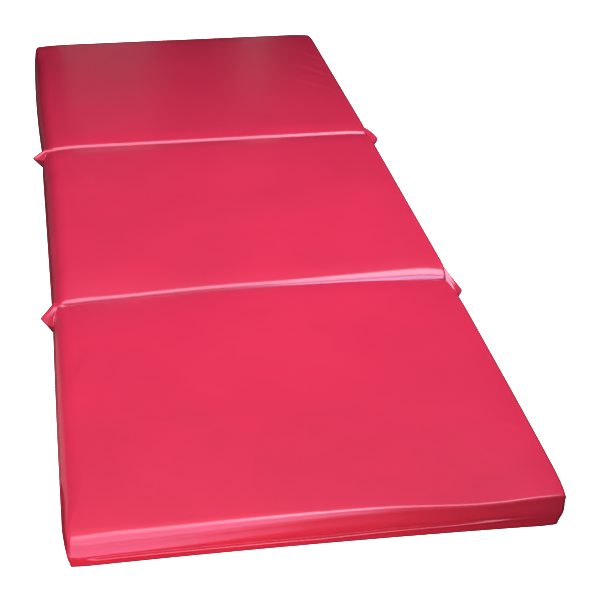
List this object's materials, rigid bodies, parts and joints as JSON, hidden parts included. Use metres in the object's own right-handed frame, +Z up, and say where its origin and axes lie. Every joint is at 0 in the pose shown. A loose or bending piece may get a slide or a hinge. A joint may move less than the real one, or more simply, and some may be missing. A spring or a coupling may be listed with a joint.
{
  "type": "folding gym mat",
  "caption": "Folding gym mat: square foam panels in one glossy vinyl cover, sewn together at pinched folds with fabric ears, folding accordion-fashion into a stack.",
  "frame": {"origin": "middle of the base on the floor", "axes": "+X to the right across the mat seen from its front end, +Y along the mat from the front panel to the rear panel, +Z up from the base to the top sheet"},
  "size_m": [0.636, 1.8, 0.05],
  "materials": {
    "top_vinyl": "glossy embossed vinyl sheet",
    "wall_vinyl": "glossy vinyl sheet on the walls and ears",
    "base_vinyl": "vinyl base sheet",
    "foam": "open foam block",
    "thread": "sewing thread"
  },
  "bodies": {
    "front_panel": {"front_foam": "foam", "front_top_sheet": "top_vinyl", "front_base_sheet": "base_vinyl", "front_left_wall": "wall_vinyl", "front_right_wall": "wall_vinyl", "front_end_wall": "wall_vinyl", "front_closing_strip": "wall_vinyl", "closing_stitches": "thread", "front_fold_wall": "wall_vinyl"},
    "middle_panel": {"middle_foam": "foam", "middle_top_sheet": "top_vinyl", "middle_base_sheet": "base_vinyl", "middle_left_wall": "wall_vinyl", "middle_right_wall": "wall_vinyl", "middle_front_fold_wall": "wall_vinyl", "middle_rear_fold_wall": "wall_vinyl", "front_fold_top_web": "top_vinyl", "front_fold_base_web": "top_vinyl", "front_fold_stitches": "thread", "front_fold_left_ear": "wall_vinyl", "front_fold_right_ear": "wall_vinyl"},
    "rear_panel": {"rear_foam": "foam", "rear_top_sheet": "top_vinyl", "rear_base_sheet": "base_vinyl", "rear_left_wall": "wall_vinyl", "rear_right_wall": "wall_vinyl", "rear_end_wall": "wall_vinyl", "rear_fold_wall": "wall_vinyl", "rear_fold_top_web": "top_vinyl", "rear_fold_base_web": "top_vinyl", "rear_fold_stitches": "thread", "rear_fold_left_ear": "wall_vinyl", "rear_fold_right_ear": "wall_vinyl"}
  },
  "joints": [
    {"name": "rear_fold", "type": "hinge", "parent": "rear_panel", "child": "middle_panel", "pos_m": [0, 0.3, 0.0505], "axis": [-1, 0, 0], "range_deg": [0, 180], "deforming": ["rear_fold_top_web", "rear_fold_base_web", "rear_fold_stitches", "rear_fold_left_ear", "rear_fold_right_ear"]},
    {"name": "front_fold", "type": "hinge", "parent": "middle_panel", "child": "front_panel", "pos_m": [0, -0.3, -0.0005], "axis": [1, 0, 0], "range_deg": [0, 180], "deforming": ["front_fold_top_web", "front_fold_base_web", "front_fold_stitches", "front_fold_left_ear", "front_fold_right_ear"]}
  ]
}
